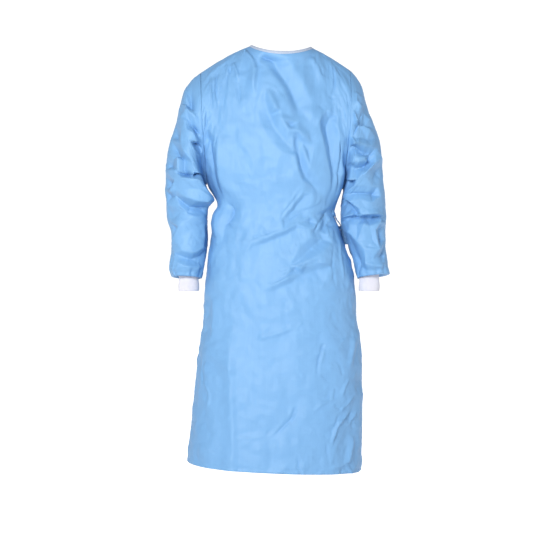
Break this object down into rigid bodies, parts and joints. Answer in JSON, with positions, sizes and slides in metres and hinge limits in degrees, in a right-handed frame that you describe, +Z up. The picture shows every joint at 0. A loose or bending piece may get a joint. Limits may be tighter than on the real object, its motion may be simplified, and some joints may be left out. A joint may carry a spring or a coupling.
{
  "type": "surgical gown",
  "caption": "Long-sleeved wrap-back surgical gown in the hollow form it takes when worn, with knit cuffs, bound neck, neck tab and side-tied waist ties.",
  "frame": {"origin": "middle of the neck opening, level with the tops of the shoulders, where the wearer's neck and shoulders hold the gown up", "axes": "+Z up along the gown's length, +X to the wearer's left, -Y to the wearer's front"},
  "size_m": [0.653, 0.3787, 1.2354],
  "materials": {
    "nonwoven_cloth": "matt crisp nonwoven cloth",
    "pale_binding": "matt folded nonwoven strip",
    "white_knit": "fine ribbed knit"
  },
  "bodies": {
    "root": {"front_panel": "nonwoven_cloth", "back_panel_right": "nonwoven_cloth", "back_panel_left": "nonwoven_cloth", "sleeve_right": "nonwoven_cloth", "sleeve_left": "nonwoven_cloth", "waist_tie_front": "nonwoven_cloth", "waist_tie_back": "nonwoven_cloth", "waist_knot": "nonwoven_cloth", "waist_bow_front": "nonwoven_cloth", "waist_bow_back": "nonwoven_cloth", "waist_end_front": "nonwoven_cloth", "waist_end_back": "nonwoven_cloth", "neck_binding": "pale_binding", "neck_tab": "pale_binding", "cuff_right": "white_knit", "cuff_left": "white_knit"}
  },
  "joints": []
}
